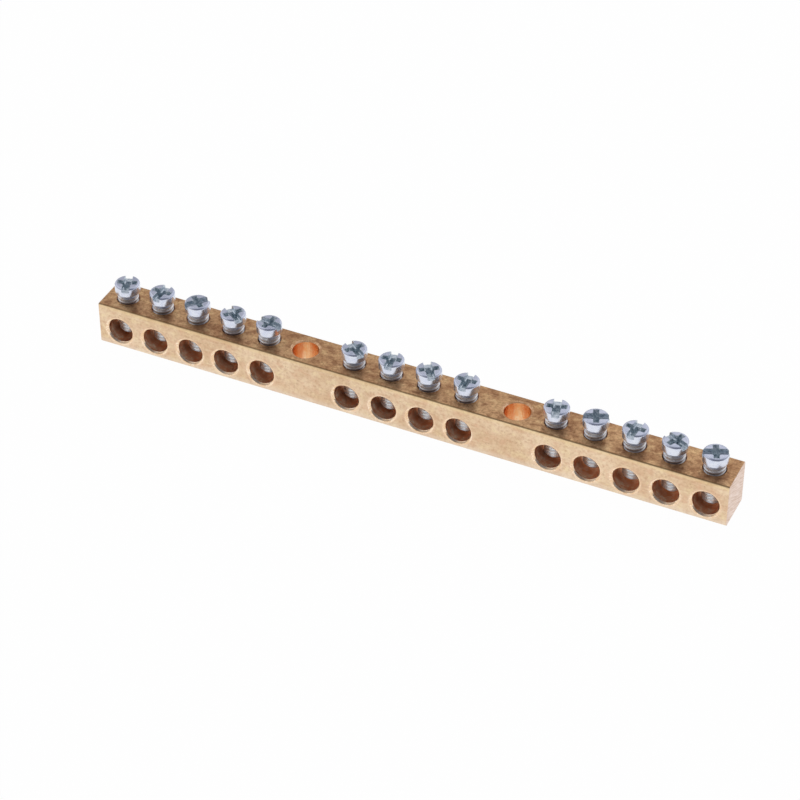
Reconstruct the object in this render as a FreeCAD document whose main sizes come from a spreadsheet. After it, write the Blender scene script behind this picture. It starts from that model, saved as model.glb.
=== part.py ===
"""Earth terminal bar: a brass bar with front wire holes, top clamp screws and two fixing holes.

Frame: X runs along the bar, -Y is the front face with the wire holes, Z is up.
The origin is the middle of the bottom face. All sizes are millimetres and degrees.
"""
import FreeCAD, Part
import os
import Sketcher

# Driving sizes
SIZES = {
    # the bar
    "bar_depth": (8.0, "front face to back face"),
    "bar_height": (8.8, "bottom face to top face"),
    "edge_radius": (0.25, "rounding of the drawn bar's long edges"),
    "end_margin": (4.25, "bar end to the nearest wire hole's axis"),
    # the wire holes, in an outer, a middle and an outer group
    "outer_count": (5, "wire holes in each outer group"),
    "middle_count": (4, "wire holes in the middle group"),
    "wire_pitch": (7.5, "between neighbouring wire holes of a group"),
    "group_gap": (17.5, "between the last and first wire hole of two groups"),
    "wire_bore": (5.0, "diameter of a wire hole"),
    "wire_height": (3.5, "bottom face to a wire hole's axis"),
    "wire_mouth": (0.5, "width of the countersink round a wire hole"),
    # the fixing holes
    "fixing_spacing": (42.5, "between the two fixing holes"),
    "fixing_bore": (5.0, "diameter of a fixing hole, clear of an M4 screw"),
    "fixing_mouth": (0.45, "width of the countersink round a fixing hole"),
    "mouth_angle": (120.0, "included angle of the wire and fixing holes' countersinks"),
    # the clamp screws
    "screw_diameter": (4.0, "M4 thread, over its crests"),
    "screw_clearance": (0.05, "running clearance all round a screw in its hole"),
    "screw_mouth": (0.2, "width of the countersink round a screw hole"),
    "screw_mouth_angle": (90.0, "included angle of a screw hole's countersink"),
    "shank_length": (8.6, "underside of the head to the tip"),
    "tip_chamfer": (0.8, "lead-in chamfer at the tip"),
    "head_diameter": (4.8, "across the head"),
    "head_height": (2.3, "underside to top of the head"),
    "head_chamfer": (0.2, "chamfer round the head's top"),
    "skirt_height": (0.3, "height of the head's tapered underside"),
    "slot_width": (1.45, "straight slot across the head"),
    "slot_depth": (0.9, "straight slot, from the head's top"),
    "wing_span": (3.6, "cross recess, tip to tip at the top"),
    "wing_root": (1.7, "cross recess, tip to tip at its bottom"),
    "wing_width": (1.0, "width of each arm of the cross recess"),
    "wing_depth": (1.8, "cross recess, from the head's top"),
    "core_diameter": (2.1, "cone in the middle of the cross recess, at the top"),
    "core_root": (1.1, "the same cone at the recess's bottom"),
}

# As the screws were left: each slot's turn from the X axis, and each tip's gap over its seat
SLOT_TURNS = [109, 88, 50, 142, 171, 144, 98, 125, 91, 106, 22, 87, 155, 23]
TIP_GAPS = [0.2, 0.4, 0.4, 0.25, 0.45, 0.2, 0.15, 0.3, 0.25, 0.2, 0.5, 0.45, 0.4, 0.3]

# Wire hole places along X, as expressions of the driving sizes
SPAN = "((2 * sizes.outer_count + sizes.middle_count - 3) * sizes.wire_pitch + 2 * sizes.group_gap)"
BAR_LENGTH = f"({SPAN} + 2 * sizes.end_margin)"
OUTER_RUN = "(sizes.outer_count - 1) * sizes.wire_pitch"
MIDDLE_RUN = "(sizes.middle_count - 1) * sizes.wire_pitch"
GROUPS = [
    ("left", f"-{SPAN} / 2", "sizes.outer_count"),
    ("middle", f"-{MIDDLE_RUN} / 2", "sizes.middle_count"),
    ("right", f"{SPAN} / 2 - {OUTER_RUN}", "sizes.outer_count"),
]

# A tip's seat is where it would touch the wire hole's wall, with its flat end or its full width
SHANK_RADIUS = "sizes.screw_diameter / 2"
END_SEAT = f"sizes.wire_height - sqrt((sizes.wire_bore / 2)^2 - ({SHANK_RADIUS} - sizes.tip_chamfer)^2)"
WIDE_SEAT = f"sizes.wire_height - sqrt((sizes.wire_bore / 2)^2 - ({SHANK_RADIUS})^2) - sizes.tip_chamfer"
TIP_SEAT = f"max({END_SEAT}; {WIDE_SEAT})"

doc = FreeCAD.newDocument("earth_terminal_bar")
sheet = doc.addObject("Spreadsheet::Sheet", "sizes")
for row, (alias, (value, meaning)) in enumerate(SIZES.items(), start=1):
    sheet.set(f"A{row}", meaning)
    sheet.set(f"B{row}", str(value))
    sheet.setAlias(f"B{row}", alias)
doc.recompute()


def value_of(expression):
    """The present value of an expression of the driving sizes."""
    return float(sheet.evalExpression(expression))


def origin_part(body, role):
    """A plane or an axis of the body's own origin."""
    return next(f for f in body.Origin.OriginFeatures if f.Role == role)


def sketch_on(body, name, role, offset="0"):
    """An empty sketch on one of the body's origin planes, moved along the plane's normal."""
    sketch = body.newObject("Sketcher::SketchObject", name)
    sketch.AttachmentSupport = (origin_part(body, role), [""])
    sketch.MapMode = "FlatFace"
    sketch.setExpression("AttachmentOffset.Base.z", offset)
    return sketch


def place(sketch, geometry, point, x, y):
    """Dimension one point of the sketch's geometry from the sketch's origin."""
    for kind, expression in (("DistanceX", x), ("DistanceY", y)):
        index = sketch.addConstraint(
            Sketcher.Constraint(kind, -1, 1, geometry, point, value_of(expression))
        )
        sketch.setExpression(f"Constraints[{index}]", expression)


def outline(sketch, corners):
    """A closed outline of straight lines, each corner dimensioned from the sketch's origin."""
    points = [FreeCAD.Vector(value_of(x), value_of(y), 0) for x, y in corners]
    count = len(points)
    for i in range(count):
        sketch.addGeometry(Part.LineSegment(points[i], points[(i + 1) % count]))
    for i in range(count):
        sketch.addConstraint(Sketcher.Constraint("Coincident", i, 2, (i + 1) % count, 1))
    for i, (x, y) in enumerate(corners):
        place(sketch, i, 1, x, y)


def circle(sketch, x, y, diameter):
    """A circle dimensioned from the sketch's origin."""
    centre = FreeCAD.Vector(value_of(x), value_of(y), 0)
    radius = value_of(diameter) / 2
    index = sketch.addGeometry(Part.Circle(centre, FreeCAD.Vector(0, 0, 1), radius))
    place(sketch, index, 3, x, y)
    size = sketch.addConstraint(Sketcher.Constraint("Diameter", index, 2 * radius))
    sketch.setExpression(f"Constraints[{size}]", diameter)


def drilled(body, name, sketch, bore, mouth, angle, depth=None):
    """Drilled holes at a sketch's circles, countersunk at the mouth, right through if no depth is given."""
    doc.recompute()
    hole = body.newObject("PartDesign::Hole", name)
    hole.Profile = sketch
    hole.ThreadType = "None"
    hole.setExpression("Diameter", bore)
    hole.HoleCutType = "Countersink"
    hole.HoleCutCustomValues = True
    hole.setExpression("HoleCutDiameter", f"{bore} + 2 * {mouth}")
    hole.setExpression("HoleCutCountersinkAngle", angle)
    hole.DrillPoint = "Flat"
    if depth is None:
        hole.DepthType = "ThroughAll"
    else:
        hole.DepthType = "Dimension"
        hole.setExpression("Depth", depth)
    return hole


def terminal_bar():
    """The drawn brass bar with its wire holes, screw holes and fixing holes."""
    body = doc.addObject("PartDesign::Body", "terminal_bar")
    body.Label = "terminal_bar"

    section = sketch_on(body, "bar_section", "YZ_Plane")
    half = "sizes.bar_depth / 2"
    outline(section, [(f"-{half}", "0"), (half, "0"), (half, "sizes.bar_height"), (f"-{half}", "sizes.bar_height")])
    stock = body.newObject("PartDesign::Pad", "bar_stock")
    stock.Profile = section
    stock.SideType = "Symmetric"
    stock.setExpression("Length", BAR_LENGTH)
    doc.recompute()

    long_edges = [
        f"Edge{number}"
        for number, edge in enumerate(stock.Shape.Edges, start=1)
        if abs(edge.tangentAt(edge.FirstParameter).x) > 0.5
    ]
    rounded = body.newObject("PartDesign::Fillet", "rounded_edges")
    rounded.Base = (stock, long_edges)
    rounded.setExpression("Radius", "sizes.edge_radius")

    x_axis = origin_part(body, "X_Axis")
    for group, start, count in GROUPS:
        wire_mark = sketch_on(body, f"{group}_wire_mark", "XZ_Plane", "sizes.bar_depth / 2")
        circle(wire_mark, start, "sizes.wire_height", "sizes.wire_bore")
        wire_hole = drilled(
            body,
            f"{group}_wire_hole",
            wire_mark,
            "sizes.wire_bore",
            "sizes.wire_mouth",
            "sizes.mouth_angle",
        )

        screw_mark = sketch_on(body, f"{group}_screw_mark", "XY_Plane", "sizes.bar_height")
        screw_bore = "(sizes.screw_diameter + 2 * sizes.screw_clearance)"
        circle(screw_mark, start, "0", screw_bore)
        screw_hole = drilled(
            body,
            f"{group}_screw_hole",
            screw_mark,
            screw_bore,
            "sizes.screw_mouth",
            "sizes.screw_mouth_angle",
            "sizes.bar_height - sizes.wire_height",
        )

        row = body.newObject("PartDesign::LinearPattern", f"{group}_row")
        row.Originals = [wire_hole, screw_hole]
        row.Direction = (x_axis, [""])
        row.Mode = "Spacing"
        row.setExpression("Offset", "sizes.wire_pitch")
        row.setExpression("Occurrences", count)
        body.Tip = row
        doc.recompute()

    fixing_marks = sketch_on(body, "fixing_marks", "XY_Plane", "sizes.bar_height")
    for side in ("-", ""):
        circle(fixing_marks, f"{side}sizes.fixing_spacing / 2", "0", "sizes.fixing_bore")
    drilled(
        body,
        "fixing_holes",
        fixing_marks,
        "sizes.fixing_bore",
        "sizes.fixing_mouth",
        "sizes.mouth_angle",
    )
    return body


def clamp_screw(number, along, turn, gap):
    """One clamp screw, made with its head's underside at its own origin and then set in place."""
    label = f"clamp_screw_{number:02d}"
    body = doc.addObject("PartDesign::Body", label)
    body.Label = label

    # turned profile: tapered tip, plain shank at the thread's crests, tapered underside, headed top
    shank = SHANK_RADIUS
    head = "sizes.head_diameter / 2"
    top = "sizes.head_height"
    profile = sketch_on(body, f"{label}_profile", "XZ_Plane")
    outline(
        profile,
        [
            ("0", "-sizes.shank_length"),
            (f"{shank} - sizes.tip_chamfer", "-sizes.shank_length"),
            (shank, "sizes.tip_chamfer - sizes.shank_length"),
            (shank, "0"),
            (head, "sizes.skirt_height"),
            (head, f"{top} - sizes.head_chamfer"),
            (f"{head} - sizes.head_chamfer", top),
            ("0", top),
        ],
    )
    blank = body.newObject("PartDesign::Revolution", f"{label}_blank")
    blank.Profile = profile
    blank.ReferenceAxis = (profile, ["V_Axis"])
    blank.Angle = 360

    # combined recess: a straight slot from side to side, and a tapered cross round a cone
    slot_plan = sketch_on(body, f"{label}_slot_plan", "XY_Plane", top)
    width = "sizes.slot_width / 2"
    outline(slot_plan, [(f"-{head}", f"-{width}"), (head, f"-{width}"), (head, width), (f"-{head}", width)])
    slot = body.newObject("PartDesign::Pocket", f"{label}_slot")
    slot.Profile = slot_plan
    slot.setExpression("Length", "sizes.slot_depth")

    wing_plan = sketch_on(body, f"{label}_wing_plan", "XZ_Plane")
    tip = "sizes.wing_span / 2"
    root = "sizes.wing_root / 2"
    floor = f"{top} - sizes.wing_depth"
    outline(wing_plan, [(f"-{tip}", top), (tip, top), (root, floor), (f"-{root}", floor)])
    wing = body.newObject("PartDesign::Pocket", f"{label}_wing")
    wing.Profile = wing_plan
    wing.SideType = "Symmetric"
    wing.setExpression("Length", "sizes.wing_width")
    doc.recompute()

    cross = body.newObject("PartDesign::PolarPattern", f"{label}_cross")
    cross.Originals = [wing]
    cross.Axis = (origin_part(body, "Z_Axis"), [""])
    cross.Angle = 90
    cross.Occurrences = 2
    body.Tip = cross
    doc.recompute()

    cone_plan = sketch_on(body, f"{label}_cone_plan", "XZ_Plane")
    outline(
        cone_plan,
        [("0", floor), ("sizes.core_root / 2", floor), ("sizes.core_diameter / 2", top), ("0", top)],
    )
    cone = body.newObject("PartDesign::Groove", f"{label}_cone")
    cone.Profile = cone_plan
    cone.ReferenceAxis = (cone_plan, ["V_Axis"])
    cone.Angle = 360

    body.Placement = FreeCAD.Placement(
        FreeCAD.Vector(), FreeCAD.Rotation(FreeCAD.Vector(0, 0, 1), turn)
    )
    body.setExpression("Placement.Base.x", along)
    body.setExpression("Placement.Base.z", f"{TIP_SEAT} + {gap} + sizes.shank_length")
    return body


def build():
    """All the pieces, the screws numbered from the left end."""
    pieces = [terminal_bar()]
    number = 0
    for _, start, count in GROUPS:
        for step in range(int(value_of(count))):
            along = f"{start} + {step} * sizes.wire_pitch"
            left_as = number % len(SLOT_TURNS)
            pieces.append(clamp_screw(number + 1, along, SLOT_TURNS[left_as], TIP_GAPS[left_as]))
            number += 1
    doc.recompute()
    return pieces


def check(pieces):
    """Stop if any feature failed or any piece is not one sound solid."""
    for thing in doc.Objects:
        if {"Invalid", "Error"} & set(thing.State):
            raise RuntimeError(f"{thing.Name} failed: {thing.State}")
    for piece in pieces:
        shape = piece.Shape
        if shape.isNull() or not shape.isValid() or len(shape.Solids) != 1:
            raise RuntimeError(f"{piece.Label} is not one sound solid")


pieces = build()
check(pieces)
os.makedirs("parts", exist_ok=True)
for piece in pieces:
    piece.Shape.exportStep(f"parts/{piece.Label}.step")
    box = piece.Shape.BoundBox
    print(f"{piece.Label}: {piece.Shape.Volume:.2f} mm3, z {box.ZMin:.2f} to {box.ZMax:.2f}")
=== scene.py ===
# %% [markdown]
# # An earth terminal bar
# A brass bar gathers the earth wires of a small switchboard. Each wire goes into a hole in the
# front, and a screw from above clamps it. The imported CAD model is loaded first: it gives every
# place and size, and stays as it is. Its meshes could be given finishes as they are, but their
# shanks and holes are plain, so the bar and the screws are modelled again in the same places, in
# metres, with their threads.

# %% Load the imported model
import math

import bmesh
import bpy
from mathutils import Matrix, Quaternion, Vector


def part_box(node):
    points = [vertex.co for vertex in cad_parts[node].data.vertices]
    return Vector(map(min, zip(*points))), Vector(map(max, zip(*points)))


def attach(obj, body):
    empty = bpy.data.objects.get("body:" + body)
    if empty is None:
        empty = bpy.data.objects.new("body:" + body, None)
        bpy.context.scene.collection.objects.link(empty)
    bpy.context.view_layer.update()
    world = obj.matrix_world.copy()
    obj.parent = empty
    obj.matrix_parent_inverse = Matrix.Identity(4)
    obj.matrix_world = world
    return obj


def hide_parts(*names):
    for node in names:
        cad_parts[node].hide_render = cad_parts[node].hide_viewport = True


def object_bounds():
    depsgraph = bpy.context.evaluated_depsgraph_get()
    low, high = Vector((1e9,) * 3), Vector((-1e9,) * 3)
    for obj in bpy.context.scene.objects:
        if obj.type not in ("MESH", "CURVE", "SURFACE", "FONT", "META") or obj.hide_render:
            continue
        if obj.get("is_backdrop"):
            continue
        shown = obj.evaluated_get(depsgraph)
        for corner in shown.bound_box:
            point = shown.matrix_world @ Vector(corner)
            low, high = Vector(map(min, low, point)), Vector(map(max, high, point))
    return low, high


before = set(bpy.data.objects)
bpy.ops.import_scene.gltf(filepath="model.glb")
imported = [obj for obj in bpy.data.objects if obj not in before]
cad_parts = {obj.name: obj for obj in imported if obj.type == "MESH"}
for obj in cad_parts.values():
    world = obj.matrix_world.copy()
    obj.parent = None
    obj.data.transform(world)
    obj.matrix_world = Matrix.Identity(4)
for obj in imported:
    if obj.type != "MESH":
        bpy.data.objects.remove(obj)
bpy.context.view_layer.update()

# %% [markdown]
# ## Places
# The bar's box and each screw's box are read from the CAD nodes. They could be typed in, but a box
# that is read can't disagree with the CAD, so the new pieces land just where it has them. The sizes
# that a box can't tell, such as a hole's, are written in millimetres where they are first needed.

# %% Places
MM = 0.001
SCREW_COUNT = 14
bar_low, bar_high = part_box("terminal_bar")
BAR_FRONT = bar_low.y
BAR_TOP = bar_high.z

screw_places = []  # each screw's place along X, and the height of its top
for number in range(1, SCREW_COUNT + 1):
    low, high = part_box(f"clamp_screw_{number:02d}")
    screw_places.append(((low.x + high.x) / 2, high.z))
print("screws at x, mm:", [round(1000 * x, 2) for x, _ in screw_places])

# %% [markdown]
# ## Hand tools for modelling
# An operator works on whatever is selected, and a loaded frame starts out selected, so each step
# first picks its own object. In edit mode, faces and edges could be picked by their numbers, but
# every cut changes those, so they are found by where they lie or which way they face, as an eye
# would find them. These few helpers keep the later cells short.

# %% Selecting
ALONG, ACROSS = 0.9, 0.1  # how much of a direction lies on an axis that it runs along, or across


def alone(piece, *others):
    """Select this piece, and any others with it, and nothing else."""
    bpy.ops.object.select_all(action="DESELECT")
    for thing in (piece, *others):
        thing.select_set(True)
    bpy.context.view_layer.objects.active = piece


def edit(piece, kind):
    """Open a piece for editing with nothing selected; kind is VERT, EDGE or FACE."""
    alone(piece)
    bpy.ops.object.mode_set(mode="EDIT")
    bpy.ops.mesh.select_mode(type=kind)
    bpy.ops.mesh.select_all(action="DESELECT")


def done():
    """Close the piece that is open for editing."""
    bpy.ops.object.mode_set(mode="OBJECT")


def pick_faces(piece, wanted):
    """Select the faces for which wanted(middle, normal) is true."""
    mesh = bmesh.from_edit_mesh(piece.data)
    for face in mesh.faces:
        face.select_set(wanted(face.calc_center_median(), face.normal))
    mesh.select_flush_mode()
    bmesh.update_edit_mesh(piece.data)


def pick_edges(piece, wanted):
    """Select the edges for which wanted(middle, direction) is true."""
    mesh = bmesh.from_edit_mesh(piece.data)
    for edge in mesh.edges:
        one, other = (corner.co for corner in edge.verts)
        edge.select_set(wanted((one + other) / 2, (other - one).normalized()))
    mesh.select_flush_mode()
    bmesh.update_edit_mesh(piece.data)


# %% Adding and measuring
def settled(piece):
    """Put a piece's place, turn and size into its mesh, so that its object sits at the origin."""
    alone(piece)
    bpy.ops.object.transform_apply(location=True, rotation=True, scale=True)
    return piece


def started(name):
    """Name and settle the primitive that was just added."""
    bpy.context.object.name = name
    return settled(bpy.context.object)


def block(name, low, high):
    """A block from its low corner to its high corner."""
    bpy.ops.object.select_all(action="DESELECT")
    low, high = Vector(low), Vector(high)
    bpy.ops.mesh.primitive_cube_add(size=1, location=(low + high) / 2, scale=high - low)
    return started(name)


def measure(piece):
    """Print a piece's number of faces and its size."""
    size = [round(1000 * side, 2) for side in piece.dimensions]
    print(f"{piece.name}: {len(piece.data.polygons)} faces, {size} mm")


# %% [markdown]
# ## Shader maths
# A finish varies over a surface by numbers worked out at each point. The sums could be wired up
# node by node, but that is long and hard to read. The small class below wraps one socket instead,
# so that an ordinary Python sum such as `1 - mask * 0.5` adds the Math nodes for it. A second class
# adds every other node, and holds the few patterns that the finishes share.

# %% Numbers in a finish
class Number:
    """A socket that carries a number; Python's operators on it add Math nodes."""

    def __init__(self, finish, socket):
        self.finish = finish
        self.socket = socket

    def maths(self, operation, *terms):
        """Add one Math node."""
        return self.finish.node("ShaderNodeMath", {"operation": operation}, dict(enumerate(terms)))

    def __add__(self, other):
        return self.maths("ADD", self, other)

    def __radd__(self, other):
        return self.maths("ADD", other, self)

    def __sub__(self, other):
        return self.maths("SUBTRACT", self, other)

    def __rsub__(self, other):
        return self.maths("SUBTRACT", other, self)

    def __mul__(self, other):
        return self.maths("MULTIPLY", self, other)

    def __rmul__(self, other):
        return self.maths("MULTIPLY", other, self)

    def __truediv__(self, other):
        return self.maths("DIVIDE", self, other)

    def __rtruediv__(self, other):
        return self.maths("DIVIDE", other, self)

    def __gt__(self, other):
        return self.maths("GREATER_THAN", self, other)

    def __lt__(self, other):
        return self.maths("LESS_THAN", self, other)

    def __abs__(self):
        return self.maths("ABSOLUTE", self)

    def root(self):
        """The square root."""
        return self.maths("SQRT", self)

    def whole(self):
        """The nearest whole number."""
        return self.maths("ROUND", self)

    def at_least(self, other):
        """The larger of the two."""
        return self.maths("MAXIMUM", self, other)

    def at_most(self, other):
        """The smaller of the two."""
        return self.maths("MINIMUM", self, other)


# %% A finish
class Finish:
    """The nodes of one material or world, built one by one."""

    def __init__(self, owner):
        self.owner = owner
        self.owner.use_nodes = True
        self.tree = self.owner.node_tree
        self.tree.nodes.clear()

    def node(self, kind, settings=None, values=None, output=0):
        """Add a node: settings first, then a value or a link for each socket."""
        made = self.tree.nodes.new(kind)
        for name, setting in (settings or {}).items():
            setattr(made, name, setting)
        for name, value in (values or {}).items():
            if isinstance(value, Number):
                self.tree.links.new(value.socket, made.inputs[name])
            else:
                made.inputs[name].default_value = value
        return Number(self, made.outputs[output])

    def outputs(self, number, names):
        """Several outputs of the node that a number comes from."""
        return [Number(self, number.socket.node.outputs[name]) for name in names]

    def close(self, shader, kind="Material"):
        """Link the shader to the output, which finishes the material or world."""
        end = self.tree.nodes.new(f"ShaderNodeOutput{kind}")
        self.tree.links.new(shader.socket, end.inputs["Surface"])
        print(f"{self.owner.name}: {len(self.tree.nodes)} nodes")
        return self.owner

    def point(self):
        """Where a point lies on the object, as a vector."""
        return self.node("ShaderNodeTexCoord", output="Object")

    def apart(self, vector):
        """A vector's x, y and z."""
        return self.outputs(self.node("ShaderNodeSeparateXYZ", values={0: vector}), "XYZ")

    def step(self, number, start, end):
        """0 before start, 1 after end, smooth between; start may be the larger."""
        span = {"Value": number, "From Min": start, "From Max": end}
        return self.node("ShaderNodeMapRange", {"interpolation_type": "SMOOTHSTEP"}, span)

    def noise(self, vector, grain, detail=2.0, roughness=0.5, stretch=(1, 1, 1)):
        """Cloudy noise whose lumps are about one grain across, drawn out along an axis."""
        turned = self.node("ShaderNodeMapping", values={"Vector": vector, "Scale": stretch})
        sockets = {"Vector": turned, "Scale": 1 / grain, "Detail": detail, "Roughness": roughness}
        return self.node("ShaderNodeTexNoise", values=sockets)

    def blend(self, factor, one, other):
        """From one colour to the other."""
        sockets = {0: factor, 6: one, 7: other}
        return self.node("ShaderNodeMix", {"data_type": "RGBA"}, sockets, output=2)

    def layered(self, base, *layers):
        """Lay colours over a base in turn; a layer is its mask, its strength and its colour."""
        for mask, strength, tint in layers:
            base = self.blend(mask * strength, base, tint)
        return base

    def metal(self, skin, roughness, height, depth, metallic=1.0):
        """A metal surface, with a bump of the given depth from the height."""
        bump = {"Height": height, "Distance": depth, "Strength": 1}
        sockets = {
            "Base Color": skin,
            "Roughness": roughness,
            "Metallic": metallic,
            "Normal": self.node("ShaderNodeBump", values=bump),
        }
        return self.close(self.node("ShaderNodeBsdfPrincipled", values=sockets))


def colour(red, green, blue):
    """A colour as a picture gives it, 0 to 255, as the light values that shaders use."""
    def light(level):
        level /= 255
        return level / 12.92 if level <= 0.04045 else ((level + 0.055) / 1.055) ** 2.4
    return (light(red), light(green), light(blue), 1.0)


# %% [markdown]
# ## Brass, as drawn
# The bar is cut from drawn brass. Its skin is a matt yellow brown with fine lines along the bar,
# cloudy patches where it was handled, worn and tarnished spots, and small pits. The top is browner
# and darker, partly tarnish and partly painted shade. Its front edge shows a thin dark line, a
# painted reflection, over a bright band, and the foot of the front is paler. Round each wire hole
# a paler ring is painted, a painted highlight round the countersink. A picture of brass would
# repeat and can't know where the holes are, so all of this is worked out from place: the ring is
# the distance from the nearest hole's axis. Both halves of the bar are alike, so only the
# right-hand holes are counted.

# %% Distance from the nearest hole
HOLE_PITCH = 7.5 * MM
MIDDLE_HOLES = (3.75 * MM, 2)  # the first hole right of the middle, and how many there are
END_HOLES = (28.75 * MM, 5)
BETWEEN_GROUPS = 20 * MM


def nearest_of(along, first, count):
    """The place of the hole nearest to a point, in a group of evenly spaced holes."""
    number = ((along - first) / HOLE_PITCH).whole().at_least(0).at_most(count - 1)
    return number * HOLE_PITCH + first


def from_axis(x, off):
    """How far a point is from the nearest hole's axis; off is its share of that in Y or Z."""
    along = abs(x)
    middle, end = nearest_of(along, *MIDDLE_HOLES), nearest_of(along, *END_HOLES)
    across = along - (middle + (end - middle) * (along > BETWEEN_GROUPS))
    return (across * across + off * off).root()


# %% Drawn skin
WIRE_HEIGHT = 3.5 * MM
ALONG_X = (0.12, 1, 1)


def drawn_brass():
    finish = Finish(bpy.data.materials.new("drawn_brass"))
    point = finish.point()
    x, y, z = finish.apart(point)

    patches = finish.step(finish.noise(point, 7 * MM, 4, 0.6), 0.35, 0.65)
    mottle = finish.noise(point, 1.8 * MM, 4, 0.7, stretch=(0.8, 1, 1))
    worn = finish.step(mottle, 0.48, 0.36)
    tarnished = finish.step(mottle, 0.5, 0.64)
    speckle = finish.noise(point, 0.55 * MM, 3, 0.65)
    specks = finish.step(speckle, 0.4, 0.75)
    lines = finish.noise(point, 0.35 * MM, 3, 0.6, stretch=ALONG_X)
    bright_lines = finish.step(lines, 0.5, 0.8)
    pits = finish.step(finish.noise(point, 0.3 * MM, 1), 0.68, 0.78)

    front = finish.step(y, BAR_FRONT + 0.25 * MM, BAR_FRONT + 0.1 * MM)
    top = finish.step(z, BAR_TOP - 0.2 * MM, BAR_TOP - 0.03 * MM)
    # Painted highlight: a paler ring round each wire hole, just outside its countersink.
    ring_highlight = finish.step(from_axis(x, z - WIRE_HEIGHT), 3.4 * MM, 3.0 * MM) * front
    foot = finish.step(z, 1.6 * MM, 0.3 * MM) * front
    band = finish.step(z, BAR_TOP - 1.1 * MM, BAR_TOP - 0.35 * MM) * front
    # Painted reflection: a thin dark line along the rounded front top edge.
    dark_edge_reflection = finish.step(z, BAR_TOP - 0.12 * MM, BAR_TOP - 0.04 * MM)
    dark_edge_reflection = dark_edge_reflection * finish.step(y, BAR_FRONT + 0.38 * MM, BAR_FRONT + 0.24 * MM)

    yellow = finish.layered(
        colour(240, 214, 182),
        (patches, 1, colour(228, 196, 160)),
        (tarnished, 0.6, colour(226, 184, 150)),
        (worn, 0.5, colour(246, 224, 180)),
        (specks, 0.6, colour(206, 168, 134)),
        (bright_lines, 0.5, colour(250, 230, 198)),
        (ring_highlight, 0.35, colour(246, 214, 186)),
    )
    # The top's colours: browner and darker than the front, partly tarnish and partly painted shade.
    top_brown_and_shade = finish.layered(
        colour(222, 178, 131),
        (patches, 1, colour(198, 151, 109)),
        (tarnished, 0.7, colour(150, 102, 70)),
        (worn, 0.7, colour(244, 206, 152)),
        (specks, 0.6, colour(142, 98, 66)),
        (bright_lines, 0.4, colour(232, 194, 150)),
    )
    skin = finish.layered(
        yellow,
        (top, 1, top_brown_and_shade),
        (foot, 0.4, colour(244, 228, 210)),
        (band, 0.4, colour(242, 214, 158)),
        (dark_edge_reflection, 0.6, colour(110, 78, 46)),
        (pits, 0.3, colour(120, 84, 54)),
    )
    roughness = 0.38 + patches * 0.08 + (speckle - 0.5) * 0.3
    height = lines * 0.4 + speckle * 0.6 - pits * 0.5
    return finish.metal(skin, roughness, height, depth=0.02 * MM)


DRAWN = drawn_brass()

# %% [markdown]
# ## Brass, as cut
# The holes' walls are cut, so they are redder than the skin. The wire holes have fine rings from
# the drill and blotchy brown stains from cutting oil, and are painted darker deep inside, a painted
# shade. The fixing holes are clean, with streaks down their walls and a dull lip, and their left
# and right walls are painted redder, a painted reflection. The wire holes' countersinks are the
# palest, because their last cut was a light one. The bar's ends are sawn, pale and pinkish, with
# slanting saw lines. One finish could tell all of these apart by place, but its sums would be long.
# Each is a finish of its own instead, which the drills and the end faces carry, so a cut face gets
# the right one by itself.

# %% Bored brass
FIXING_PLACES = (-21.25 * MM, 21.25 * MM)
ALL_WAYS = (1, 1, 1)
ROUND_Y = (0.3, 1, 0.3)
ALONG_Z = (1, 1, 0.12)


def deep_shade(finish, point):
    """Painted shade deep inside a wire hole, away from its two ends."""
    _, y, _ = finish.apart(point)
    return [(finish.step(abs(y), 2.8 * MM, 1.6 * MM), 0.5, colour(196, 130, 90))]


def red_side_reflection(finish, point):
    """Painted reflection: the redder left and right walls of a fixing hole."""
    x, _, _ = finish.apart(point)
    across = abs(abs(x) - FIXING_PLACES[1])
    return [(finish.step(across, 1.8 * MM, 2.45 * MM), 0.7, colour(226, 140, 84))]


def bored_brass(name, fresh, stained, stretch, roughness, tints=None):
    """Cut brass with tool marks, blotchy stains and any tints that depend on the place."""
    finish = Finish(bpy.data.materials.new(name))
    point = finish.point()
    marks = finish.noise(point, 0.3 * MM, 2, 0.6, stretch=stretch)
    blotches = finish.step(finish.noise(point, 1.2 * MM, 3, 0.6), 0.35, 0.65)
    wall = finish.layered(
        fresh, (blotches, 1, stained), (finish.step(marks, 0.42, 0.62), 0.7, stained)
    )
    if tints:
        wall = finish.layered(wall, *tints(finish, point))
    return finish.metal(wall, roughness + marks * 0.15, marks, depth=0.015 * MM)


# The wire holes' finish: blotchy oil stains, and painted shade deep inside.
STAINED_SHADED = bored_brass(
    "stained_shaded_bore", colour(255, 240, 218), colour(234, 176, 134), ROUND_Y, 0.34, deep_shade
)
# The fixing holes' finish, with a painted reflection: redder left and right walls.
CLEAN = bored_brass(
    "clean_bore", colour(255, 240, 218), colour(248, 206, 162), ALONG_Z, 0.22, red_side_reflection
)
SUNK = bored_brass("countersink", colour(255, 232, 204), colour(238, 202, 164), ALL_WAYS, 0.16)
DULL = bored_brass("dull_lip", colour(236, 196, 158), colour(200, 154, 112), ALL_WAYS, 0.36)

# %% Sawn brass
SAW_SLANT = math.radians(28)
ALONG_Y = (1, 0.07, 1)


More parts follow.
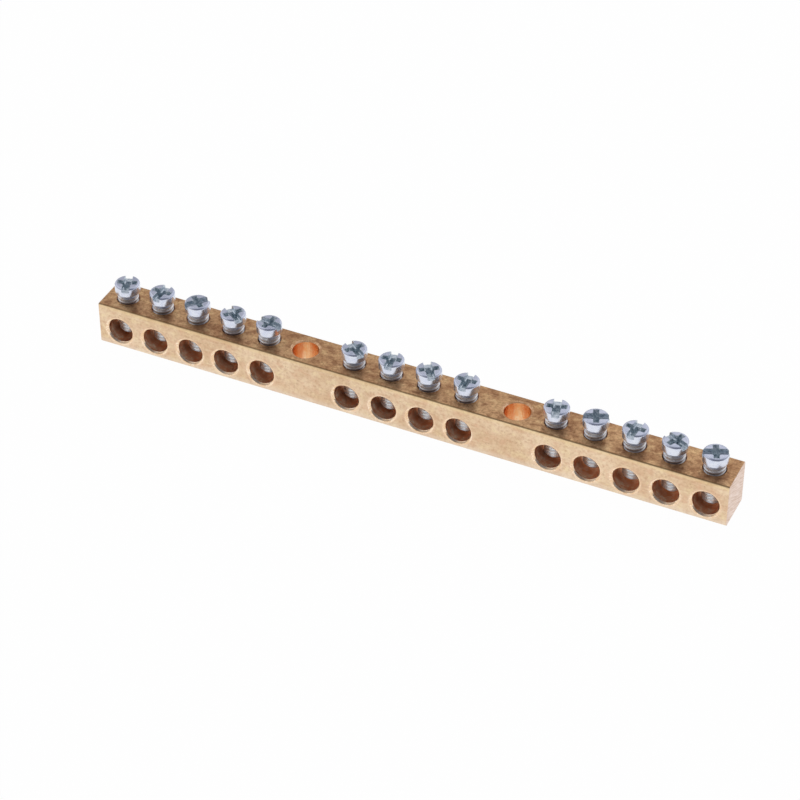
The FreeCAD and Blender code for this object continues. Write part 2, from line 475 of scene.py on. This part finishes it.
def sawn_brass():
    finish = Finish(bpy.data.materials.new("sawn_brass"))
    point = finish.point()
    slant = {"Vector": point, "Rotation": (SAW_SLANT, 0, 0)}
    slanted = finish.node("ShaderNodeMapping", values=slant)
    lines = finish.noise(slanted, 0.28 * MM, 3, 0.6, stretch=ALONG_Y)
    cloud = finish.noise(point, 2.5 * MM, 3, 0.6)
    face = finish.layered(
        colour(248, 228, 216),
        (finish.step(lines, 0.35, 0.7), 1, colour(220, 192, 172)),
        (finish.step(cloud, 0.45, 0.75), 0.4, colour(234, 200, 172)),
    )
    return finish.metal(face, 0.42 + lines * 0.15, lines, depth=0.03 * MM)


SAWN = sawn_brass()

# %% [markdown]
# ## The bar's stock
# The bar is a length of drawn section with rounded long edges and sawn ends. Its outline could be
# drawn and pulled out along X, but a block of the CAD node's own box is in place at once, and needs
# only its four long edges rounded and its end edges just broken. Its end faces take the sawn
# finish.

# %% Stock
LONG_EDGE, END_EDGE = 0.25 * MM, 0.06 * MM
END_TILT = 0.3  # takes in the broken edges
AT_THE_END = bar_high.x - 0.001 * MM


def coated(piece, first, second, wanted):
    """Give a piece its first finish, and the wanted faces the second."""
    for finish in (first, second):
        piece.data.materials.append(finish)
    edit(piece, "FACE")
    pick_faces(piece, wanted)
    piece.active_material_index = 1
    bpy.ops.object.material_slot_assign()
    done()


bar = block("brass_bar", bar_low, bar_high)
edit(bar, "EDGE")
pick_edges(bar, lambda middle, way: abs(way.x) > ALONG)
bpy.ops.mesh.bevel(offset=LONG_EDGE, segments=4)
pick_edges(bar, lambda middle, way: abs(middle.x) > AT_THE_END and abs(way.x) < ACROSS)
bpy.ops.mesh.bevel(offset=END_EDGE, segments=2)
done()
coated(bar, DRAWN, SAWN, lambda middle, normal: abs(normal.x) > END_TILT)
measure(bar)

# %% [markdown]
# ## Drilling
# A wire hole is drilled and countersunk from the front, a fixing hole from the top. Each could be
# drawn as a ring in the face and pushed inwards, but where holes cross inside the bar only a cut
# finds the edge. So a drill is a rod whose mouth is widened, modelled once with its mouth at height
# 0, then copied to each place and cut out of the bar. The wire holes' lip is steep inside and
# shallow outside, so that it takes a dark and a pale ring of light.

# %% Rods, cuts and copies
def rod(name, radius, low, high, sides=64):
    """An upright round rod on the Z axis."""
    bpy.ops.object.select_all(action="DESELECT")
    bpy.ops.mesh.primitive_cylinder_add(
        vertices=sides, radius=radius, depth=high - low, location=(0, 0, (low + high) / 2)
    )
    return started(name)


def pull(piece, up, height, along=1.0, across=None):
    """Pull a top (up=1) or bottom (up=-1) face out by a height, and scale it along X and across."""
    edit(piece, "FACE")
    pick_faces(piece, lambda middle, normal: normal.z * up > ALONG)
    bpy.ops.mesh.extrude_region_move(TRANSFORM_OT_translate={"value": (0, 0, up * height)})
    bpy.ops.transform.resize(value=(along, across or along, 1), center_override=(0, 0, 0))
    done()


def finish_with(piece, kind, **settings):
    """Add a modifier, set it and apply it."""
    alone(piece)
    bpy.ops.object.modifier_add(type=kind)
    modifier = piece.modifiers[-1]
    for name, value in settings.items():
        setattr(modifier, name, value)
    bpy.ops.object.modifier_apply(modifier=modifier.name)


def combine(piece, tool, operation="DIFFERENCE"):
    """Cut a tool out of a piece, or join or intersect the two; faces keep their own finish."""
    rules = {"operation": operation, "solver": "EXACT", "material_mode": "TRANSFER"}
    finish_with(piece, "BOOLEAN", object=tool, **rules)
    bpy.data.objects.remove(tool)


def copied(piece, name, turn=0.0, place=(0, 0, 0)):
    """A copy with its own mesh, turned about the Z axis and then moved."""
    alone(piece)
    bpy.ops.object.duplicate()
    copy = bpy.context.object
    copy.name = name
    copy.rotation_euler = (0, 0, turn)
    copy.location = place
    return settled(copy)


def cut_at(piece, tool, places):
    """Cut copies of a tool out of a piece, all of them at once, and remove the tool."""
    tools = [copied(tool, f"{tool.name}_{n}", place=place) for n, place in enumerate(places)]
    bpy.data.objects.remove(tool)
    alone(*tools)
    bpy.ops.object.join()
    combine(piece, tools[0])
    measure(piece)


# %% Drills
THROUGH = 10 * MM  # deeper than the bar
OVERRUN = 1 * MM  # how far a tool stands out of the face that it cuts
WIRE_RADIUS = 2.5 * MM
WIRE_LIP = ((0.22 * MM, 0.16 * MM), (0.18 * MM, 0.34 * MM))
FIXING_RADIUS = 2.5 * MM
FIXING_LIP = ((0.26 * MM, 0.45 * MM),)


def drill(name, radius, lip, depth, wall, sunk):
    """A drill pointing down from height 0; its lip widens it by stages of (height, width)."""
    tool = rod(name, radius, -depth, -sum(height for height, _ in lip))
    for height, width in lip:
        pull(tool, 1, height, (radius + width) / radius)
        radius += width
    pull(tool, 1, OVERRUN)
    coated(tool, wall, sunk, lambda middle, normal: ACROSS < abs(normal.z) < ALONG)
    return tool


wire_drill = drill("wire_drill", WIRE_RADIUS, WIRE_LIP, THROUGH, STAINED_SHADED, SUNK)
wire_drill.rotation_euler = (math.radians(90), 0, 0)
settled(wire_drill)
cut_at(bar, wire_drill, [(x, BAR_FRONT, WIRE_HEIGHT) for x, _ in screw_places])

fixing_drill = drill("fixing_drill", FIXING_RADIUS, FIXING_LIP, THROUGH, CLEAN, DULL)
cut_at(bar, fixing_drill, [(x, 0, BAR_TOP) for x in FIXING_PLACES])

# %% [markdown]
# ## Threads
# A screw thread is one tooth's outline, turned about the axis and raised by one pitch each turn.
# The outline could be swept along a helix as a curve, but the Screw modifier does just this. It is
# drawn point by point from a single vertex. The thread is made longer than it has to be, and both
# ends are cut flat, which also closes them.

# %% One thread for the screws and for the holes
PITCH = 0.7 * MM
BELOW, SPARE = 1.5 * PITCH, 3  # how far under its end a thread starts, and its extra turns
TOUCHING = 0.001 * MM  # corners this close are one corner


def thread(name, root, crest, root_flat, crest_flat, low, high, steps):
    """A threaded rod on the Z axis; its tooth is drawn from the root out to the crest and back."""
    bpy.ops.object.select_all(action="DESELECT")
    bpy.ops.mesh.primitive_plane_add(size=1 * MM, location=(root, 0, low - BELOW))
    piece = started(name)
    edit(piece, "VERT")
    bpy.ops.mesh.select_all(action="SELECT")
    bpy.ops.mesh.merge(type="CENTER")
    flank = (PITCH - root_flat - crest_flat) / 2
    for out, up in ((0, root_flat), (crest - root, flank), (0, crest_flat), (root - crest, flank)):
        bpy.ops.mesh.extrude_region_move(TRANSFORM_OT_translate={"value": (out, 0, up)})
    done()
    turns = math.ceil((high - low) / PITCH) + SPARE
    winding = {"axis": "Z", "screw_offset": PITCH, "iterations": turns, "steps": steps}
    merging = {"use_merge_vertices": True, "merge_threshold": TOUCHING}
    finish_with(piece, "SCREW", render_steps=steps, **winding, **merging)
    edit(piece, "VERT")
    for height, side in ((low, "clear_inner"), (high, "clear_outer")):
        flat = {"plane_co": (0, 0, height), "plane_no": (0, 0, 1), "threshold": 0.1 * TOUCHING}
        bpy.ops.mesh.select_all(action="SELECT")
        bpy.ops.mesh.bisect(use_fill=True, **flat, **{side: True})
    bpy.ops.mesh.select_all(action="SELECT")
    bpy.ops.mesh.remove_doubles(threshold=TOUCHING)
    bpy.ops.mesh.normals_make_consistent(inside=False)
    done()
    measure(piece)
    return piece


# %% [markdown]
# ## Tapped holes
# The screw holes are tapped, and the drilled wire holes cut through the taps, which leaves small
# jagged ridges in the roof of each wire hole. A bump could only darken the roof, and those ridges
# show against the light, so they need a real thread in the bar. The tap is a threaded rod, a little
# larger than the screw, cut out at each place. Then a short drill opens each hole's mouth.

# %% Taps and mouths
TAP_RADIUS = 2.05 * MM
MOUTH_DEPTH = 0.5 * MM
MOUTH_LIP = ((0.2 * MM, 0.2 * MM),)

tap = thread(
    "tap",
    root=TAP_RADIUS,
    crest=2.24 * MM,
    root_flat=0.25 * MM,
    crest_flat=0.09 * MM,
    low=WIRE_HEIGHT + 0.05 * MM,
    high=BAR_TOP + OVERRUN,
    steps=40,
)
tap.data.materials.append(STAINED_SHADED)
cut_at(bar, tap, [(x, 0, 0) for x, _ in screw_places])
mouth = drill("mouth", TAP_RADIUS, MOUTH_LIP, MOUTH_DEPTH, STAINED_SHADED, STAINED_SHADED)
cut_at(bar, mouth, [(x, 0, BAR_TOP) for x, _ in screw_places])

# %% [markdown]
# ## Shading the bar
# Round walls should look round and flat faces flat. Smoothing everything would smear the flat faces
# round each hole, so only edges of up to 35 degrees are smoothed, and weighted normals keep the
# large flat faces from picking up the tilt of the rounded edges. The cuts leave a few pairs of
# corners in one place, which are welded first. Then the CAD bar is hidden, and the new bar is hung
# from an empty for the bar's body.

# %% Shade the bar and put it in the CAD bar's place
SAME_PLACE = 0.000001 * MM
SMOOTH_ANGLE = math.radians(35)


def shaded(piece):
    """Weld a finished piece and smooth its round walls."""
    finish_with(piece, "WELD", merge_threshold=SAME_PLACE)
    alone(piece)
    bpy.ops.object.shade_smooth_by_angle(angle=SMOOTH_ANGLE)
    finish_with(piece, "WEIGHTED_NORMAL", keep_sharp=True)
    measure(piece)


shaded(bar)
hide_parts("terminal_bar")
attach(bar, "bar")

# %% [markdown]
# ## Zinc plate
# The screws are steel with bright, slightly blue zinc. The outside of the head is nearly white, and
# its top is painted a little duller, a painted shade. The slot and the pressed recess are mottled,
# greener, and darker, partly as painted shade in these hollows. The thread is a little darker in
# its roots, and is painted darker where it meets the bar, a painted shade.
# One zinc could be darkened by place, but the faces that a tool cuts carry the tool's own finish,
# so each kind of face has a zinc of its own, all made by one function.

# %% Zinc finishes
def dark_roots_and_entry_shade(finish, point):
    """Darker thread roots, and painted shade where the thread enters the bar."""
    x, y, z = finish.apart(point)
    root = finish.step(from_axis(x, y), 1.92 * MM, 1.66 * MM)
    root = root * finish.step(z, 2.3 * MM, 3.2 * MM)
    # Painted shade: the thread is darker where it enters the bar.
    entry = finish.step(z, BAR_TOP + 0.5 * MM, BAR_TOP) * (z > BAR_TOP - 1 * MM)
    return [(root, 0.12, colour(104, 98, 90)), (entry, 0.4, colour(110, 84, 64))]


def zinc(name, bright, dull, roughness, metallic, patch=1.1 * MM, tints=None):
    """Zinc plate, in patches of bright and dull, with any tints that depend on the place."""
    finish = Finish(bpy.data.materials.new(name))
    point = finish.point()
    cloud = finish.step(finish.noise(point, patch, 3, 0.6), 0.35, 0.7)
    grain = finish.noise(point, 0.12 * MM, 2, 0.6)
    skin = finish.blend(cloud, bright, dull)
    if tints:
        skin = finish.layered(skin, *tints(finish, point))
    return finish.metal(skin, roughness + grain * 0.12, grain, 0.003 * MM, metallic)


FINE_PATCH = 0.5 * MM
PLATE = zinc("zinc_plate", colour(240, 244, 255), colour(226, 232, 250), 0.16, 0.8)
# Painted shade: the head's top is painted duller than its sides.
SHADED_TOP = zinc("zinc_shaded_top", colour(218, 222, 238), colour(198, 204, 223), 0.2, 0.82)
# The slot and recess are greener, and darker partly as painted shade in these hollows.
SLOTTED = zinc("zinc_slot", colour(232, 240, 246), colour(176, 188, 200), 0.34, 0.8, FINE_PATCH)
RECESS = zinc("zinc_recess", colour(236, 244, 248), colour(160, 178, 188), 0.4, 0.7, FINE_PATCH)
THREAD = zinc(
    "zinc_thread", colour(252, 253, 255), colour(230, 233, 237), 0.24, 0.72, tints=dark_roots_and_entry_shade
)

# %% [markdown]
# ## A screw's head
# The head is a short cheese head: a rod with its top edge rounded and its underside tapered in to
# the shank. Two tools are pressed into it: a straight slot from side to side, and a tapered cross
# with a cone in its middle. Pressed and plated edges are never knife sharp, and their small
# highlights make a screw look real. The finished recess could be bevelled, but that tangles where
# its many edges meet, so each tool is flared where it leaves the head. The screw is modelled once
# at the origin, with the slot along X, and its underside at height 0.

# %% Head blank
HEAD_RADIUS, HEAD_HEIGHT = 2.4 * MM, 2.3 * MM
HEAD_ROUNDING = 0.42 * MM
SKIRT_HEIGHT = 0.5 * MM
SHANK_RADIUS = 2.0 * MM
NECK_RADIUS = SHANK_RADIUS + 0.03 * MM
AT_THE_TOP = HEAD_HEIGHT - 0.01 * MM
TOP_TILT = 0.5  # takes in the upper part of the rounding

screw = rod("screw", HEAD_RADIUS, SKIRT_HEIGHT, HEAD_HEIGHT, sides=72)
edit(screw, "EDGE")
pick_edges(screw, lambda middle, way: middle.z > AT_THE_TOP)
bpy.ops.mesh.bevel(offset=HEAD_ROUNDING, segments=6)
done()
pull(screw, -1, SKIRT_HEIGHT, NECK_RADIUS / HEAD_RADIUS)
coated(screw, PLATE, SHADED_TOP, lambda middle, normal: normal.z > TOP_TILT)
measure(screw)

# %% Flared tools
FLARE = 0.07 * MM
FLARE_START = HEAD_HEIGHT - FLARE


def flared(tool, along, across, finish):
    """Widen a tool by a small flare at the head's top, which breaks the edge that it cuts."""
    pull(tool, 1, FLARE, 1 + FLARE / along, 1 + FLARE / across)
    pull(tool, 1, OVERRUN)
    tool.data.materials.append(finish)
    return tool


def blade(name, reach, half_width, depth):
    """A straight tool along X, from its depth in the head up to where its flare starts."""
    low = (-reach, -half_width, HEAD_HEIGHT - depth)
    return block(name, low, (reach, half_width, FLARE_START))


# %% Slot and cross
SLOT_REACH, SLOT_HALF, SLOT_DEPTH = 3 * MM, 0.725 * MM, 0.9 * MM
SLOT_ROUNDING = 0.15 * MM
NEAR_SLOT_BOTTOM = HEAD_HEIGHT - 0.8 * MM
WING_REACH, WING_HALF, RECESS_DEPTH = 1.8 * MM, 0.5 * MM, 1.8 * MM
WING_TAPER = (0.47, 0.85, 1)
CONE_TIP, CONE_RIM = 0.55 * MM, 1.05 * MM
DISC = 0.01 * MM  # the cone grows from a disc as thin as this

slot_tool = blade("slot_tool", SLOT_REACH, SLOT_HALF, SLOT_DEPTH)
edit(slot_tool, "EDGE")
pick_edges(slot_tool, lambda middle, way: abs(way.x) > ALONG and middle.z < NEAR_SLOT_BOTTOM)
bpy.ops.mesh.bevel(offset=SLOT_ROUNDING, segments=3)
done()
flared(slot_tool, SLOT_REACH, SLOT_HALF, SLOTTED)

wing_tool = blade("wing_tool", WING_REACH, WING_HALF, RECESS_DEPTH)
edit(wing_tool, "FACE")
pick_faces(wing_tool, lambda middle, normal: normal.z < -ALONG)
bpy.ops.transform.resize(value=WING_TAPER, center_override=(0, 0, 0))
done()
flared(wing_tool, WING_REACH, WING_HALF, RECESS)
other_wing_tool = copied(wing_tool, "other_wing_tool", turn=math.radians(90))

recess_bottom = HEAD_HEIGHT - RECESS_DEPTH
cone_tool = rod("cone_tool", CONE_TIP, recess_bottom, recess_bottom + DISC, sides=32)
pull(cone_tool, 1, RECESS_DEPTH - DISC - FLARE, CONE_RIM / CONE_TIP)
flared(cone_tool, CONE_RIM, CONE_RIM, RECESS)

for tool in (slot_tool, wing_tool, other_wing_tool, cone_tool):
    combine(screw, tool)
measure(screw)

# %% [markdown]
# ## The threaded shank
# The shank is M4, with a pitch of 0.7 mm. Its tip has a lead-in chamfer, which runs across the
# thread. It could be turned off with a ring-shaped tool, but it is simpler to keep only what lies
# inside a tapered rod. The shank runs up into the head, so that the two make one solid.

# %% Shank
SHANK_LENGTH = 8.6 * MM
TIP_CHAMFER = 0.8 * MM
ENVELOPE_RADIUS = SHANK_RADIUS + 0.02 * MM

shank = thread(
    "shank",
    root=1.62 * MM,
    crest=SHANK_RADIUS,
    root_flat=0.12 * MM,
    crest_flat=0.18 * MM,
    low=-SHANK_LENGTH,
    high=0.3 * MM,
    steps=48,
)
shank.data.materials.append(THREAD)
envelope = rod("envelope", ENVELOPE_RADIUS, TIP_CHAMFER - SHANK_LENGTH, OVERRUN)
pull(envelope, -1, TIP_CHAMFER, 1 - TIP_CHAMFER / ENVELOPE_RADIUS)
envelope.data.materials.append(THREAD)
combine(shank, envelope, "INTERSECT")
combine(screw, shank, "UNION")
shaded(screw)

# %% [markdown]
# ## Fourteen screws
# Each screw was left a little differently: its slot points its own way, and its head stands its
# own height over the bar. Copies that share one mesh would be lighter, but each piece moves by
# itself, so each has its own. They take their heights from the CAD screws' boxes.

# %% Copy the screw to each place
SLOT_TURNS = [109, 88, 50, 142, 171, 144, 98, 125, 91, 106, 22, 87, 155, 23]  # degrees

for number, ((x, top), turn) in enumerate(zip(screw_places, SLOT_TURNS), start=1):
    place = (x, 0, top - HEAD_HEIGHT)
    piece = copied(screw, f"clamp_screw_{number:02d}_threaded", math.radians(turn), place)
    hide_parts(f"clamp_screw_{number:02d}")
    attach(piece, f"screw_{number:02d}")
bpy.data.objects.remove(screw)
print("screws placed:", SCREW_COUNT)

# %% [markdown]
# ## Floor
# The bar lies on a plain white table. A matt white plane would come out grey, and darker away from
# the lamps. So to the camera, and in the metal, the table is nearly all a white glow, with a small
# part of the lit plane, which takes the bar's soft shadow. To the light it is a plain matt plane.

# %% Floor
GLOW = 1.01  # just over 1, so that the table comes out white
GLOWING_PART = 0.975
WHITE = (1, 1, 1, 1)
MATT_WHITE = (0.9, 0.9, 0.9, 1)


def seen(finish):
    """1 for what the camera, a reflection or glass sees, 0 for what only lights."""
    path = finish.node("ShaderNodeLightPath")
    names = ("Is Camera Ray", "Is Glossy Ray", "Is Transmission Ray")
    camera, glossy, glass = finish.outputs(path, names)
    return camera.at_least(glossy).at_least(glass)


def white_table():
    finish = Finish(bpy.data.materials.new("white_table"))
    lit = finish.node("ShaderNodeBsdfDiffuse", values={"Color": MATT_WHITE})
    glow = finish.node("ShaderNodeEmission", values={"Color": WHITE, "Strength": GLOW})
    sockets = {0: seen(finish) * GLOWING_PART, 1: lit, 2: glow}
    return finish.close(finish.node("ShaderNodeMixShader", values=sockets))


bpy.ops.object.select_all(action="DESELECT")
bpy.ops.mesh.primitive_plane_add(size=8, location=(0, 0, 0))
floor = started("floor")
floor.data.materials.append(white_table())
floor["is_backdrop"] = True
measure(floor)

# %% [markdown]
# ## Room
# Metal shows what stands round it. A room that is white all over would leave the screw heads
# without edges, so its walls are a light grey that darkens to the left and overhead, with one dark
# patch in front, up and to the right, which draws those edges. It could be built as cards round the
# bar, but here it is worked out from the direction in which a ray leaves, and can't throw shadows.

# %% Room
DIMMED = 0.55  # the part of its brightness with which the room lights the bar


def studio_room():
    world = bpy.data.worlds.new("studio_room")
    bpy.context.scene.world = world
    finish = Finish(world)
    along, back, up = finish.apart(finish.node("ShaderNodeTexCoord", output="Generated"))
    left = finish.step(along, 0.1, -0.8)
    overhead = finish.step(up, 0.68, 0.92)
    bright = finish.step(along * 0.52 - back * 0.74 + up * 0.42, 0.78, 0.52)
    camera = finish.node("ShaderNodeLightPath", output="Is Camera Ray")
    wall = finish.layered(
        colour(204, 205, 211),
        (left, 0.6, colour(166, 165, 168)),
        (overhead, 0.9, colour(150, 154, 164)),
    )
    room = finish.blend(bright, colour(124, 127, 138), wall)
    room = finish.blend(camera, room, WHITE)
    strength = DIMMED + seen(finish) * (1 - DIMMED)
    light = finish.node("ShaderNodeBackground", values={"Color": room, "Strength": strength})
    finish.close(light, "World")


studio_room()

# %% [markdown]
# ## Lamps
# Two large soft lamps, to the left and behind, give the bar its shape and its soft shadow. One
# small lamp could light it, but would throw a hard shadow and leave one side of each hole black.

# %% Lamps
def lamp(name, place, size, power):
    """A square soft lamp turned towards the bar."""
    bpy.ops.object.select_all(action="DESELECT")
    bpy.ops.object.light_add(type="AREA", location=place)
    made = bpy.context.object
    made.name = name
    made.data.size = size
    made.data.energy = power
    made.rotation_euler = (-Vector(place)).to_track_quat("-Z", "Y").to_euler()
    print(f"{name}: {power} W, {size} m across")


lamp("left_lamp", place=(-0.75, 0.1, 0.65), size=1.1, power=1.7)
lamp("back_lamp", place=(0.2, 0.6, 0.7), size=1.1, power=1.3)

# %% [markdown]
# ## Camera
# The camera stands where the photograph was taken: 25 degrees round to the right of the front, 39
# degrees up, with a long lens half a metre away. It could be pointed by eye, but its place, turn
# and lens were solved from the corners and holes that show, so the bar lies just as in the picture.

# %% Camera
CAMERA_PLACE = (0.16788, -0.35882, 0.32009)
TURN, RISE, TILT = math.radians(25.342), math.radians(38.585), math.radians(-0.098)
SENSOR = 36  # millimetres
LENS = SENSOR * 2772.56 / 800  # from the lens's length and the picture's width, in pixels

look = Vector((-math.sin(TURN) * math.cos(RISE), math.cos(TURN) * math.cos(RISE), -math.sin(RISE)))
bpy.ops.object.camera_add(location=CAMERA_PLACE)
camera = bpy.context.object
camera.rotation_mode = "QUATERNION"
camera.rotation_quaternion = look.to_track_quat("-Z", "Y") @ Quaternion((0, 0, 1), TILT)
camera.data.sensor_width = SENSOR
camera.data.lens = LENS
camera.data.clip_start = 0.01
bpy.context.scene.camera = camera
bpy.context.scene.view_settings.view_transform = "Standard"
print("lens, mm:", round(camera.data.lens, 1))

# %% [markdown]
# ## The visual box
# The box round every shown piece, without the floor, is measured, and its size printed.

# %% Measure the visual box
low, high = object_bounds()
print("visual box, mm:", [round(1000 * side, 2) for side in high - low])
